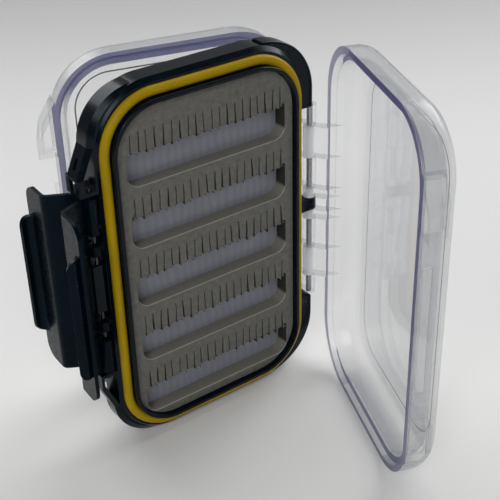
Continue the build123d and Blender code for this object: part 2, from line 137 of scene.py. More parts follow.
# ---------------------------------------------------------------- backings
# Behind each foam lies a thin sheet of white styrene that closes the slots.
# It is taken as pressed, with soft upright ribs, one to each slit.
RIB_PITCH = 2.86
RIB_DEEP = 0.3
RIB_STRENGTH = 0.05
RIB_WANDER = 7.0
WAVE_RADIANS = 20.0  # the phase of a wave texture is this times its scaled coordinate
SMUDGE = 4.0
SMUDGE_SPAN = (0.0, 0.6)
# Both tones are painted shade: the white sheet is coloured mid grey, as it looks deep in the slots.
BACKING_DARK_IN_PAINTED_SHADE, BACKING_PALE_IN_PAINTED_SHADE = "#7c7e87", "#85878f"
BACKING_ROUGH = 0.5


def pressed_styrene():
    """Pressed styrene sheet: white, coloured mid grey with painted shade as it lies in the slots, soft ribs,
    faint smudges.
    """
    material, tree, point = new_material("pressed_styrene")
    turns = scale_of(RIB_PITCH) * 2 * math.pi / WAVE_RADIANS
    ribs = add(tree, "TexWave", {"Vector": point, "Scale": turns, "Distortion": RIB_WANDER, "Detail": 2.0,
                                 "Detail Scale": 0.5}, bands_direction="X")
    smudge = add(tree, "TexNoise", {"Vector": point, "Scale": scale_of(SMUDGE), "Detail": 3.0})
    relief = add(tree, "Math", {0: ribs, 1: smudge}, operation="MULTIPLY")
    tone = add(tree, "MapRange", {"Value": relief, "From Min": SMUDGE_SPAN[0], "From Max": SMUDGE_SPAN[1]})
    base = add(tree, "Mix", {0: tone, 6: colour(BACKING_DARK_IN_PAINTED_SHADE), 7: colour(BACKING_PALE_IN_PAINTED_SHADE)}, data_type="RGBA")
    bump = add(tree, "Bump", {"Height": relief, "Strength": RIB_STRENGTH, "Distance": RIB_DEEP * MM})
    shader = add(tree, "BsdfPrincipled", {"Base Color": base, "Roughness": BACKING_ROUGH, "Normal": bump})
    add(tree, "OutputMaterial", {"Surface": shader})
    return material


dress(["front_backing", "rear_backing"], pressed_styrene())

# ---------------------------------------------------------------- foams
# A sheet of grey closed-cell EVA foam fills each pocket. Five long slots are
# die cut through it, and the upper edge of each is slit into tabs that grip
# the flies. The knife leaves the edges rounded and the tabs a little torn.


def corners(name):
    """The low and the high corner of a CAD node, in mm, to the nearest 0.001."""
    points = [vertex.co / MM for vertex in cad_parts[name].data.vertices]
    return [[round(pick(axis), 3) for axis in zip(*points)] for pick in (min, max)]


FOAM_LOW, FOAM_HIGH = corners("rear_foam")
MID_Z = (FOAM_LOW[2] + FOAM_HIGH[2]) / 2
FOAM_TRIM = 0.05
FOAM_OFF_BACKING = 0.02
FOAM_HALF_X = FOAM_HIGH[0] - FOAM_TRIM
FOAM_HALF_Z = FOAM_HIGH[2] - MID_Z - FOAM_TRIM
FOAM_BACK = FOAM_LOW[1] + FOAM_OFF_BACKING
FOAM_FACE = FOAM_HIGH[1]
FOAM_CORNER = 14.4
FOAM_EDGE = 0.28
FOAM_STEPS = 14
SLOT_ROWS = 5
SLOT_FROM_LEFT, SLOT_FROM_RIGHT, SLOT_FROM_LOW = 3.7, 3.2, 3.2
SLOT_LEFT = SLOT_FROM_LEFT - FOAM_HALF_X
SLOT_RIGHT = FOAM_HALF_X - SLOT_FROM_RIGHT
SLOT_LOW = MID_Z - FOAM_HALF_Z + SLOT_FROM_LOW
SLOT_PITCH = 20.85
SLOT_TALL = 10.8
SLOT_CORNER = 4.0
SLOT_STEPS = 8
SLOT_EAR = 0.8
SLOT_EAR_RISE = 0.1
SLOT_EAR_FOOT = 0.35
SLOT_EAR_STEPS = 4
SLOT_END = ((0.4, -0.1), (0.0, -0.9))  # the cut upper left corner, from its sharp one
SLITS = 20
SLIT_FIRST = -27.0
SLIT_LONG = 6.4
SLIT_UNEVEN = (-0.4, 0.3)
SLIT_WIDTHS = (0.12, 0.16, 0.24, 0.34, 0.44)
SLIT_MOUTH = 0.5
SLIT_WAIST = 0.8
SLIT_TIP = 0.05
SLIT_LEAN = 0.3
SLIT_BOW = 0.12
SLIT_SHIFT = 0.15
TORN_DROP = (0.45, 1.1)
TORN_WIDE = 1.1
TORN_POINT = 0.15
TORN_FLANK = 0.25
TORN_OTHER = 0.2
TORN_TOP, TORN_BOTTOM = 1.0, 1.7
FOAM_SEED = 11
SAME_POINT = 0.002
FOAM_CREASE_DEG = 35.0
FOAM_SHADE, FOAM_PALE = "#595854", "#72716c"
# Painted shade for the cut faces, painted light for the cut faces that face up, and a painted highlight for
# the rounded lips that face up.
CUT_PAINTED_SHADE, LEDGE_PAINTED_LIGHT, LIP_PAINTED_HIGHLIGHT = "#2f2e2b", "#77756e", "#a5a398"
FACING_UP = (0.1, 0.35)
TURNED_OFF_FACE = (0.92, 0.5)
LIP_FROM_FACE, LIP_FROM_WALL = (0.97, 0.8), (0.2, 0.45)
CELL = 0.4
CELL_WALL = 0.3
CELL_DEEP = 0.14
CELL_STRENGTH = 0.75
CLOUD = 2.0
CLOUD_SPAN = (0.3, 0.7)
FOAM_ROUGH = 0.9
FOAM_SPECULAR = 0.2


def arc(cx, cz, radius, start, end, steps):
    """Points of an arc, angles in degrees."""
    angles = [math.radians(start + (end - start) * i / steps) for i in range(steps + 1)]
    return [(cx + radius * math.cos(a), cz + radius * math.sin(a)) for a in angles]


def rounded_loop(half_x, half_z, radius, steps):
    """Rounded rectangle about the middle of the box."""
    loop = []
    for quarter, (sx, sz) in enumerate(((1, 1), (-1, 1), (-1, -1), (1, -1))):
        cx = sx * (half_x - radius)
        cz = MID_Z + sz * (half_z - radius)
        loop += arc(cx, cz, radius, quarter * 90, quarter * 90 + 90, steps)
    return loop


def slit(x, top, tear, dice):
    """Both sides of one slit, from right to left, with the torn foot of the tab on each side."""
    half = dice.choice(SLIT_WIDTHS) / 2
    lean = dice.uniform(-SLIT_LEAN, SLIT_LEAN)
    bow = dice.uniform(-SLIT_BOW, SLIT_BOW)
    rise = SLIT_LONG + dice.uniform(*SLIT_UNEVEN)
    drop = dice.uniform(*TORN_DROP) * tear
    torn_side = dice.choice((-1, 1))
    right, left = (drop, drop * TORN_OTHER) if torn_side > 0 else (drop * TORN_OTHER, drop)
    waist_x = x + bow + lean / 2
    waist_z = top + rise / 2
    return [(x + half + TORN_WIDE, top - right * TORN_FLANK),
            (x + half + TORN_POINT, top - right),
            (x + half, top + SLIT_MOUTH),
            (waist_x + half * SLIT_WAIST, waist_z),
            (x + lean + SLIT_TIP, top + rise),
            (x + lean - SLIT_TIP, top + rise),
            (waist_x - half * SLIT_WAIST, waist_z),
            (x - half, top + SLIT_MOUTH),
            (x - half - TORN_POINT, top - left),
            (x - half - TORN_WIDE, top - left * TORN_FLANK)]


def slot_loop(row, dice):
    """One slot, its upper edge cut into tabs that are more torn in the lower rows."""
    low = SLOT_LOW + row * SLOT_PITCH
    top = low + SLOT_TALL
    tear = TORN_TOP + (TORN_BOTTOM - TORN_TOP) * (SLOT_ROWS - 1 - row) / (SLOT_ROWS - 1)
    loop = arc(SLOT_LEFT + SLOT_CORNER, low + SLOT_CORNER, SLOT_CORNER, 180, 270, SLOT_STEPS)
    loop += arc(SLOT_RIGHT - SLOT_CORNER, low + SLOT_CORNER, SLOT_CORNER, 270, 360, SLOT_STEPS)
    loop += arc(SLOT_RIGHT - SLOT_EAR, top + SLOT_EAR_RISE, SLOT_EAR, 0, 90, SLOT_EAR_STEPS)
    loop += [(SLOT_RIGHT - SLOT_EAR - SLOT_EAR_FOOT, top + SLOT_EAR_RISE)]
    for i in reversed(range(SLITS)):
        x = SLIT_FIRST + i * RIB_PITCH + dice.uniform(-SLIT_SHIFT, SLIT_SHIFT)
        loop += slit(x, top, tear, dice)
    return loop + [(SLOT_LEFT + x, top + z) for x, z in SLOT_END]


def stand_up(name, curve, y):
    """The mesh of a curve drawn in X and Y, turned upright at a Y plane."""
    drawn = bpy.data.objects.new(name + "_curve", curve)
    bpy.context.collection.objects.link(drawn)
    mesh = bpy.data.meshes.new_from_object(drawn)
    bpy.data.objects.remove(drawn)
    mesh.transform(Matrix.Translation((0, y * MM, 0)) @ Matrix.Rotation(math.pi / 2, 4, "X"))
    piece = bpy.data.objects.new(name, mesh)
    bpy.context.collection.objects.link(piece)
    return piece


def draw_loop(curve, loop):
    """Adds a closed loop of X and Z points, in mm, to a curve."""
    spline = curve.splines.new("POLY")
    spline.points.add(len(loop) - 1)
    for point, (x, z) in zip(spline.points, loop):
        point.co = (x * MM, z * MM, 0.0, 1.0)
    spline.use_cyclic_u = True


def cut_sheet(name, loops, y_low, y_high, edge):
    """A sheet between two Y planes, cut to the loops, its edges rounded."""
    curve = bpy.data.curves.new(name, "CURVE")
    curve.dimensions = "2D"
    curve.fill_mode = "BOTH"
    curve.extrude = ((y_high - y_low) / 2 - edge) * MM
    curve.bevel_depth = edge * MM
    curve.bevel_resolution = 2
    curve.offset = -edge * MM
    for loop in loops:
        draw_loop(curve, loop)
    return stand_up(name, curve, (y_low + y_high) / 2)


def smooth(piece, crease):
    """Smooth shading that keeps edges sharper than an angle in degrees."""
    shape = bmesh.new()
    shape.from_mesh(piece.data)
    bmesh.ops.remove_doubles(shape, verts=shape.verts, dist=SAME_POINT * MM)
    bmesh.ops.recalc_face_normals(shape, faces=shape.faces)
    for face in shape.faces:
        face.smooth = True
    for edge in shape.edges:
        edge.smooth = len(edge.link_faces) != 2 or edge.calc_face_angle() < math.radians(crease)
    shape.to_mesh(piece.data)
    shape.free()


def eva_foam():
    """Closed-cell EVA: matt warm grey and cloudy, with a painted highlight along the rounded lips that face
    up, painted light on the cut faces that face up, and painted shade on the other cut faces.

    The cells are too fine to show in the render, so they are drawn coarser, 0.4 mm wide.
    """
    material, tree, point = new_material("eva_foam")
    cloud = add(tree, "TexNoise", {"Vector": point, "Scale": scale_of(CLOUD), "Detail": 5.0,
                                   "Roughness": 0.75})
    speck = add(tree, "MapRange", {"Value": cloud, "From Min": CLOUD_SPAN[0], "From Max": CLOUD_SPAN[1]})
    face = add(tree, "Mix", {0: speck, 6: colour(FOAM_SHADE), 7: colour(FOAM_PALE)}, data_type="RGBA")

    turned = add(tree, "SeparateXYZ", {"Vector": add(tree, "NewGeometry").outputs["Normal"]})
    square = add(tree, "Math", {0: turned.outputs["Y"]}, operation="ABSOLUTE")
    upward = add(tree, "MapRange", {"Value": turned.outputs["Z"],
                                    "From Min": FACING_UP[0], "From Max": FACING_UP[1]})
    wall = add(tree, "MapRange", {"Value": square,
                                  "From Min": TURNED_OFF_FACE[0], "From Max": TURNED_OFF_FACE[1]})
    not_up = add(tree, "MapRange", {"Value": upward, "From Min": 1.0, "From Max": 0.0})
    # Painted shade: the cut faces that don't face up are darkened.
    painted_shade = add(tree, "Math", {0: wall, 1: not_up}, operation="MULTIPLY")
    # Painted light: the cut faces that face up are lightened.
    ledge_light = add(tree, "Math", {0: wall, 1: upward}, operation="MULTIPLY")
    off_face = add(tree, "MapRange", {"Value": square,
                                      "From Min": LIP_FROM_FACE[0], "From Max": LIP_FROM_FACE[1]})
    off_wall = add(tree, "MapRange", {"Value": square,
                                      "From Min": LIP_FROM_WALL[0], "From Max": LIP_FROM_WALL[1]})
    rounding = add(tree, "Math", {0: off_face, 1: off_wall}, operation="MULTIPLY")
    # Painted highlight: the rounded edges that face up are pale.
    lip_highlight = add(tree, "Math", {0: rounding, 1: upward}, operation="MULTIPLY")
    base = add(tree, "Mix", {0: painted_shade, 6: face, 7: colour(CUT_PAINTED_SHADE)}, data_type="RGBA")
    base = add(tree, "Mix", {0: ledge_light, 6: base, 7: colour(LEDGE_PAINTED_LIGHT)}, data_type="RGBA")
    base = add(tree, "Mix", {0: lip_highlight, 6: base, 7: colour(LIP_PAINTED_HIGHLIGHT)}, data_type="RGBA")

    cells = add(tree, "TexVoronoi", {"Vector": point, "Scale": scale_of(CELL)})
    walls = add(tree, "TexNoise", {"Vector": point, "Scale": scale_of(CELL_WALL), "Detail": 3.0,
                                   "Roughness": 0.7})
    relief = add(tree, "Math", {0: cells, 1: walls}, operation="MULTIPLY")
    bump = add(tree, "Bump", {"Height": relief, "Strength": CELL_STRENGTH, "Distance": CELL_DEEP * MM})
    shader = add(tree, "BsdfPrincipled", {"Base Color": base, "Roughness": FOAM_ROUGH, "Normal": bump,
                                          "Specular IOR Level": FOAM_SPECULAR})
    add(tree, "OutputMaterial", {"Surface": shader})
    return material


foam_grey = eva_foam()
for side, word in ((-1, "front"), (1, "rear")):
    dice = random.Random(FOAM_SEED + side)
    loops = [rounded_loop(FOAM_HALF_X, FOAM_HALF_Z, FOAM_CORNER, FOAM_STEPS)]
    loops += [slot_loop(row, dice) for row in range(SLOT_ROWS)]
    y_low, y_high = sorted((side * FOAM_BACK, side * FOAM_FACE))
    piece = cut_sheet(word + "_foam_sheet", loops, y_low, y_high, FOAM_EDGE)
    smooth(piece, FOAM_CREASE_DEG)
    piece.data.materials.append(foam_grey)
    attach(piece, BODY)
    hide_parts(word + "_foam")

# ---------------------------------------------------------------- gaskets
# A round cord of yellow silicone rubber lies in the channel of each face. It
# is extruded, joined into a ring and pushed in, and its crown is pressed a
# little flat by the lid.
CORD_LOW, CORD_HIGH = corners("rear_gasket")
CORD_R = 1.6
CORD_HALF_X = CORD_HIGH[0] - CORD_R
CORD_HALF_Z = CORD_HIGH[2] - MID_Z - CORD_R
CORD_Y = (CORD_LOW[1] + CORD_HIGH[1]) / 2
CORD_CORNER = 17.0
CORD_STEPS = 24
CORD_PRESSED = 0.04
CORD_CREASE_DEG = 60.0
CORD_DEEP_YELLOW, CORD_YELLOW = "#9c8100", "#a98c03"
CORD_SPECULAR = 0.15
BATCH = 17.0
BATCH_SPAN = (0.3, 0.7)
DUST = 1.4
DUST_SPAN = (0.35, 0.7)
DUST_ROUGH = (0.4, 0.58)
DUST_DEEP = 0.08
DUST_STRENGTH = 0.15
GLOW_WEIGHT = 0.1
GLOW_SCALE = 0.5
GLOW_REACH = (2.0, 1.4, 0.4)


def gasket_ring(name, side):
    """One cord as a swept ring, its crown pressed."""
    curve = bpy.data.curves.new(name, "CURVE")
    curve.dimensions = "3D"
    curve.bevel_depth = CORD_R * MM
    curve.bevel_resolution = 8
    draw_loop(curve, rounded_loop(CORD_HALF_X, CORD_HALF_Z, CORD_CORNER, CORD_STEPS))
    piece = stand_up(name, curve, side * CORD_Y)
    for vertex in piece.data.vertices:
        rise = (side * vertex.co.y / MM - CORD_Y) / CORD_R
        vertex.co.y -= side * CORD_PRESSED * MM * max(0.0, rise) ** 4
    smooth(piece, CORD_CREASE_DEG)
    return piece


def silicone_rubber():
    """Extruded silicone rubber: deep yellow with a slight glow, satin, duller where dust clings."""
    material, tree, point = new_material("silicone_rubber")
    batch = add(tree, "TexNoise", {"Vector": point, "Scale": scale_of(BATCH), "Detail": 2.0})
    tone = add(tree, "MapRange", {"Value": batch, "From Min": BATCH_SPAN[0], "From Max": BATCH_SPAN[1]})
    base = add(tree, "Mix", {0: tone, 6: colour(CORD_DEEP_YELLOW), 7: colour(CORD_YELLOW)}, data_type="RGBA")
    dust = add(tree, "TexNoise", {"Vector": point, "Scale": scale_of(DUST), "Detail": 4.0,
                                  "Roughness": 0.65})
    satin = add(tree, "MapRange", {"Value": dust, "From Min": DUST_SPAN[0], "From Max": DUST_SPAN[1],
                                   "To Min": DUST_ROUGH[0], "To Max": DUST_ROUGH[1]})
    bump = add(tree, "Bump", {"Height": dust, "Strength": DUST_STRENGTH, "Distance": DUST_DEEP * MM})
    shader = add(tree, "BsdfPrincipled", {
        "Base Color": base, "Roughness": satin, "Normal": bump, "Specular IOR Level": CORD_SPECULAR,
        "Subsurface Weight": GLOW_WEIGHT, "Subsurface Radius": [reach * MM for reach in GLOW_REACH],
        "Subsurface Scale": GLOW_SCALE})
    add(tree, "OutputMaterial", {"Surface": shader})
    return material


cord_yellow = silicone_rubber()
for side, word in ((-1, "front"), (1, "rear")):
    piece = gasket_ring(word + "_gasket_cord", side)
    piece.data.materials.append(cord_yellow)
    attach(piece, BODY)
    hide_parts(word + "_gasket")

# ---------------------------------------------------------------- pins
# The hinge pin is bright drawn steel wire, and the two latch pins are the same
# wire, coloured much darker. All three are pushed endwise through their
# barrels.
BRIGHT_SHADE, BRIGHT_PALE = "#8b8d91", "#a6a8ac"
DARKENED_SHADE, DARKENED_PALE = "#2e3033", "#4a4d52"
DRAWN_LINE = 0.25
DRAWN_STRETCH = 0.03
DRAWN_SPAN = (0.3, 0.7)
DRAWN_ROUGH = (0.12, 0.24)
DRAWN_DEEP = 0.02
DRAWN_STRENGTH = 0.2


def drawn_steel(name, shade, pale):
    """Drawn steel wire: mirror glints broken by lines along it, in a bright or a dark colour.

    The lines are too fine to show in the render, so they are drawn coarser, 0.25 mm wide.
    """
    material, tree, point = new_material(name)
    along = add(tree, "Mapping", {"Vector": point, "Scale": (1.0, 1.0, DRAWN_STRETCH)})
    lines = add(tree, "TexNoise", {"Vector": along, "Scale": scale_of(DRAWN_LINE), "Detail": 2.0})
    tone = add(tree, "MapRange", {"Value": lines, "From Min": DRAWN_SPAN[0], "From Max": DRAWN_SPAN[1]})
    base = add(tree, "Mix", {0: tone, 6: colour(shade), 7: colour(pale)}, data_type="RGBA")
    rough = add(tree, "MapRange", {"Value": lines, "From Min": DRAWN_SPAN[0], "From Max": DRAWN_SPAN[1],
                                   "To Min": DRAWN_ROUGH[0], "To Max": DRAWN_ROUGH[1]})
    bump = add(tree, "Bump", {"Height": lines, "Strength": DRAWN_STRENGTH, "Distance": DRAWN_DEEP * MM})
    shader = add(tree, "BsdfPrincipled", {"Base Color": base, "Metallic": 1.0, "Roughness": rough,
                                          "Normal": bump})
    add(tree, "OutputMaterial", {"Surface": shader})
    return material


dress(["hinge_pin"], drawn_steel("drawn_steel", BRIGHT_SHADE, BRIGHT_PALE))
dress(["front_latch_pin", "rear_latch_pin"], drawn_steel("darkened_steel", DARKENED_SHADE, DARKENED_PALE))

# ---------------------------------------------------------------- latches
# Each latch is a lever moulded in the same black nylon, with a duller finish
# than the frame's. It turns on its pin, and its lip snaps over the catch bar
# of its lid.
LATCH_ROUGH = 0.27
LATCH_SPECULAR = 0.1
LATCH_GLINT = (0.55, 0.82, 1.0, 1.0)

dress(["front_latch", "rear_latch"],
      moulded_nylon("moulded_nylon_satin", LATCH_ROUGH, LATCH_SPECULAR, LATCH_GLINT))

# ---------------------------------------------------------------- lids
# The lids are clear polycarbonate, moulded in one piece with their hinge
# arms, catch bar and ears. The broad panel is polished, the walls are
# slightly frosted, and the thick rim shows the violet of the resin.
PIN_LOW, PIN_HIGH = corners("hinge_pin")
HINGE_X = (PIN_LOW[0] + PIN_HIGH[0]) / 2
KNUCKLE_R = 2.3
FRONT_OPEN_DEG = 68.1
REAR_OPEN_DEG = -14.1
LID_EDGE_X = 39.9
EAR_ROOT_X = -39.0
FACING_FRAME = 0.7
RIM_DEPTH = 5.4
STEP_DEPTH = 6.9
STEP_BAND = (46.0, 54.0)
STEP_EDGE_X = 31.0
WALL_DEPTH = (15.2, 11.6)
FROST_SIDE_X = (34.0, 20.0)
FROST_LEAST = 0.12
WINDOW_MIDDLE_X = 0.6
WINDOW_HALF_X, WINDOW_HALF_Z = 30.1, 52.0
WINDOW_CORNER = 11.7
WINDOW_LINE = 0.5
WINDOW_DEPTH = 16.0
FACING_END = 0.8
FROST = "#babfc5"
RIM_VIOLET, RIM_PALE = "#43437a", "#58588a"
KNUCKLE_PAINTED_LIGHT = "#f4f6f8"
# One grey for the engraved window line and for the painted shade on the arm ends.
ENGRAVED_LINE_AND_PAINTED_SHADE = "#3c3d45"
PANEL_BODY, FROST_BODY = 0.004, 0.3
RIM_BODY = 0.8
LINE_BODY = 0.85
# The upper and lower faces of the hinge arms are greyed as painted shade.
ARM_END_PAINTED_SHADE = 0.3
# The barrels round the hinge pin carry painted light, near white: strong on the front lid, faint on the rear.
FRONT_KNUCKLE_LIGHT, REAR_KNUCKLE_LIGHT = 0.66, 0.08
CLEAR_FACE, CLEAR_EDGE = "#fefefe", "#c2c4c8"
EDGE_POWER = 4.0
LID_FLOW = 18.0
LID_FLOW_DEEP = 0.6
LID_FLOW_STRENGTH = 0.1
HAIR = 1.1
HAIR_SPAN = (0.4, 0.75)
HAIR_ROUGH = (0.02, 0.06)
FROST_ROUGH = 0.26
MIRROR_POWER = 5.0
MIRROR_FACE, MIRROR_EDGE = 0.022, 0.9
WHITE = (1.0, 1.0, 1.0, 1.0)


def shell_mask(tree, place):
    """The lid's dish alone, without its hinge arms and ears."""
    off_arms = add(tree, "Math", {0: place.outputs["X"], 1: LID_EDGE_X * MM}, operation="LESS_THAN")
    off_ears = add(tree, "Math", {0: place.outputs["X"], 1: EAR_ROOT_X * MM}, operation="GREATER_THAN")
    return add(tree, "Math", {0: off_arms, 1: off_ears}, operation="MULTIPLY")


def rim_mask(tree, place, depth, turned, shell):
    """The rim's end face, and the step inside it along the short sides."""
    square = add(tree, "Math", {0: turned.outputs["Y"]}, operation="ABSOLUTE")
    flat = add(tree, "Math", {0: square, 1: FACING_FRAME}, operation="GREATER_THAN")
    low = add(tree, "Math", {0: depth, 1: RIM_DEPTH * MM}, operation="LESS_THAN")
    end_face = add(tree, "Math", {0: low, 1: flat}, operation="MULTIPLY")
    end_face = add(tree, "Math", {0: end_face, 1: shell}, operation="MULTIPLY")

    high = add(tree, "Math", {0: place.outputs["Z"], 1: MID_Z * MM}, operation="SUBTRACT")
    high = add(tree, "Math", {0: high}, operation="ABSOLUTE")
    short_side = add(tree, "MapRange", {"Value": high, "From Min": STEP_BAND[0] * MM,
                                        "From Max": STEP_BAND[1] * MM}, interpolation_type="SMOOTHSTEP")
    off_hinge = add(tree, "Math", {0: place.outputs["X"], 1: STEP_EDGE_X * MM}, operation="LESS_THAN")
    shallow = add(tree, "Math", {0: depth, 1: STEP_DEPTH * MM}, operation="LESS_THAN")
    step = add(tree, "Math", {0: flat, 1: short_side}, operation="MULTIPLY")
    step = add(tree, "Math", {0: step, 1: off_hinge}, operation="MULTIPLY")
    step = add(tree, "Math", {0: step, 1: shallow}, operation="MULTIPLY")
    return add(tree, "Math", {0: end_face, 1: step}, operation="MAXIMUM")


def wall_mask(tree, place, depth, shell):
    """The walls round the panel, fading out towards the hinge side, where they are polished."""
    below_panel = add(tree, "MapRange", {"Value": depth, "From Min": WALL_DEPTH[0] * MM,
                                         "From Max": WALL_DEPTH[1] * MM}, interpolation_type="SMOOTHSTEP")
    free_side = add(tree, "MapRange", {"Value": place.outputs["X"], "From Min": FROST_SIDE_X[0] * MM,
                                       "From Max": FROST_SIDE_X[1] * MM, "To Min": FROST_LEAST})
    wall = add(tree, "Math", {0: below_panel, 1: shell}, operation="MULTIPLY")
    return add(tree, "Math", {0: wall, 1: free_side}, operation="MULTIPLY")


def window_mask(tree, closed, depth):
    """The engraved line round the panel: a band about the edge of a rounded rectangle."""
    corner = add(tree, "VectorMath", {0: closed, 1: (WINDOW_MIDDLE_X * MM, 0.0, MID_Z * MM)},
                 operation="SUBTRACT")
    corner = add(tree, "VectorMath", {0: corner}, operation="ABSOLUTE")
    straight = ((WINDOW_HALF_X - WINDOW_CORNER) * MM, 1.0, (WINDOW_HALF_Z - WINDOW_CORNER) * MM)
    corner = add(tree, "VectorMath", {0: corner, 1: straight}, operation="SUBTRACT")
    corner = add(tree, "VectorMath", {0: corner, 1: (0.0, 0.0, 0.0)}, operation="MAXIMUM")
    away = add(tree, "VectorMath", {0: corner}, operation="LENGTH").outputs["Value"]
    away = add(tree, "Math", {0: away, 1: WINDOW_CORNER * MM}, operation="SUBTRACT")
    away = add(tree, "Math", {0: away}, operation="ABSOLUTE")
    line = add(tree, "Math", {0: away, 1: WINDOW_LINE / 2 * MM}, operation="LESS_THAN")
    outside = add(tree, "Math", {0: depth, 1: WINDOW_DEPTH * MM}, operation="GREATER_THAN")
    return add(tree, "Math", {0: line, 1: outside}, operation="MULTIPLY")


def knuckle_mask(tree, closed):
    """The barrels round the hinge pin."""
    spoke = add(tree, "VectorMath", {0: closed, 1: (HINGE_X * MM, 0.0, 0.0)}, operation="SUBTRACT")
    spoke = add(tree, "VectorMath", {0: spoke, 1: (1.0, 1.0, 0.0)}, operation="MULTIPLY")
    spoke = add(tree, "VectorMath", {0: spoke}, operation="LENGTH").outputs["Value"]
    return add(tree, "Math", {0: spoke, 1: KNUCKLE_R * MM}, operation="LESS_THAN")


def arm_end_mask(tree, place, turned):
    """The upper and lower faces of the hinge arms, coloured grey as painted shade."""
    upright = add(tree, "Math", {0: turned.outputs["Z"]}, operation="ABSOLUTE")
    level = add(tree, "Math", {0: upright, 1: FACING_END}, operation="GREATER_THAN")
    arms = add(tree, "Math", {0: place.outputs["X"], 1: LID_EDGE_X * MM}, operation="GREATER_THAN")
    ends = add(tree, "Math", {0: level, 1: arms}, operation="MULTIPLY")
    return add(tree, "Math", {0: ends, 1: ARM_END_PAINTED_SHADE}, operation="MULTIPLY")


def clear_polycarbonate(name, open_deg, knuckle_light):
    """Moulded polycarbonate: clear panel, frosted walls, violet rim, and gloss that grows edge-on.

    The masks are worked out as if the lid were shut, so point and normal are turned back about
    the hinge. The walls are drawn as a see-through shell that doesn't bend the light.
    """
    material, tree, point = new_material(name)
    shut = -math.radians(open_deg)
    closed = add(tree, "VectorRotate", {"Vector": point, "Center": (HINGE_X * MM, 0.0, 0.0), "Angle": shut},
                 rotation_type="Z_AXIS")
    facet = add(tree, "VectorRotate", {"Vector": add(tree, "NewGeometry").outputs["Normal"], "Angle": shut},
                rotation_type="Z_AXIS")
    place = add(tree, "SeparateXYZ", {"Vector": closed})
    turned = add(tree, "SeparateXYZ", {"Vector": facet})
    depth = add(tree, "Math", {0: place.outputs["Y"]}, operation="ABSOLUTE")
    shell = shell_mask(tree, place)
    rim = rim_mask(tree, place, depth, turned, shell)
    wall = wall_mask(tree, place, depth, shell)
    knuckle = knuckle_mask(tree, closed)
    arm_end_shade = arm_end_mask(tree, place, turned)
    line = add(tree, "Math", {0: arm_end_shade, 1: window_mask(tree, closed, depth)}, operation="MAXIMUM")
    flow = add(tree, "TexNoise", {"Vector": closed, "Scale": scale_of(LID_FLOW), "Detail": 2.0})
    facing = add(tree, "LayerWeight", {"Blend": 0.5}).outputs["Facing"]

    edge = add(tree, "Math", {0: facing, 1: EDGE_POWER}, operation="POWER")
    tint = add(tree, "Mix", {0: edge, 6: colour(CLEAR_FACE), 7: colour(CLEAR_EDGE)}, data_type="RGBA")
    through = add(tree, "BsdfTransparent", {"Color": tint})

    violet = add(tree, "Mix", {0: flow, 6: colour(RIM_VIOLET), 7: colour(RIM_PALE)}, data_type="RGBA")
    haze = add(tree, "Mix", {0: rim, 6: colour(FROST), 7: violet}, data_type="RGBA")
    # Painted light: the clear barrels round the hinge pin are coloured near white.
    haze = add(tree, "Mix", {0: knuckle, 6: haze, 7: colour(KNUCKLE_PAINTED_LIGHT)}, data_type="RGBA")
    haze = add(tree, "Mix", {0: line, 6: haze, 7: colour(ENGRAVED_LINE_AND_PAINTED_SHADE)}, data_type="RGBA")
    front = add(tree, "BsdfDiffuse", {"Color": haze})
    behind = add(tree, "BsdfTranslucent", {"Color": haze})
    body = add(tree, "MixShader", {0: 0.5, 1: front, 2: behind})

    solid = add(tree, "MapRange", {"Value": wall, "To Min": PANEL_BODY, "To Max": FROST_BODY})
    solid = add(tree, "Mix", {0: rim, 2: solid, 3: RIM_BODY}, data_type="FLOAT")
    solid = add(tree, "Mix", {0: knuckle, 2: solid, 3: knuckle_light}, data_type="FLOAT")
    dark = add(tree, "Math", {0: line, 1: LINE_BODY}, operation="MULTIPLY")
    solid = add(tree, "Math", {0: solid, 1: dark}, operation="MAXIMUM")
    inner = add(tree, "MixShader", {0: solid, 1: through, 2: body})

    bump = add(tree, "Bump", {"Height": flow, "Strength": LID_FLOW_STRENGTH, "Distance": LID_FLOW_DEEP * MM})
    hair = add(tree, "TexNoise", {"Vector": closed, "Scale": scale_of(HAIR), "Detail": 3.0, "Roughness": 0.6})
    polish = add(tree, "MapRange", {"Value": hair, "From Min": HAIR_SPAN[0], "From Max": HAIR_SPAN[1],
                                    "To Min": HAIR_ROUGH[0], "To Max": HAIR_ROUGH[1]})
    rough = add(tree, "Math", {0: wall, 1: FROST_ROUGH, 2: polish}, operation="MULTIPLY_ADD")
    gloss = add(tree, "BsdfGlossy", {"Color": WHITE, "Roughness": rough, "Normal": bump})
    graze = add(tree, "Math", {0: facing, 1: MIRROR_POWER}, operation="POWER")
    mirror = add(tree, "MapRange", {"Value": graze, "To Min": MIRROR_FACE, "To Max": MIRROR_EDGE})
    shader = add(tree, "MixShader", {0: mirror, 1: inner, 2: gloss})
    add(tree, "OutputMaterial", {"Surface": shader})
    return material


dress(["front_lid"], clear_polycarbonate("clear_polycarbonate_front", FRONT_OPEN_DEG, FRONT_KNUCKLE_LIGHT))
dress(["rear_lid"], clear_polycarbonate("clear_polycarbonate_rear", REAR_OPEN_DEG, REAR_KNUCKLE_LIGHT))

# ---------------------------------------------------------------- table
# The box stands on a matt white table that runs on behind it. The paint
# carries painted light, a little brighter in front of the box, and painted
# shade, a little greyer far back than beside the box; far off it fades into
# the pale room.
FLOOR_HALF = 1.4
FLOOR_CELLS = 8
FLOOR_RUN = (0.583, 0.812, 0.0)
FLOOR_NEAR, FLOOR_LIT, FLOOR_FAR = -0.08, 0.12, 0.55
FLOOR_FADE = (0.6, 1.3)
# Painted light in front of the box and painted shade far back, in the paint colour.
PAINTED_LIGHT_NEAR, PAINT_LIT, PAINTED_SHADE_FAR = "#ebebe9", "#e1e1e1", "#a5a5a6"
PAINT_ROUGH = 0.75
PAINT_SPECULAR = 0.3
CLOUDS = 170.0
CLOUDS_GREY = "#b8b8b9"
CLOUDS_MOST = 0.12


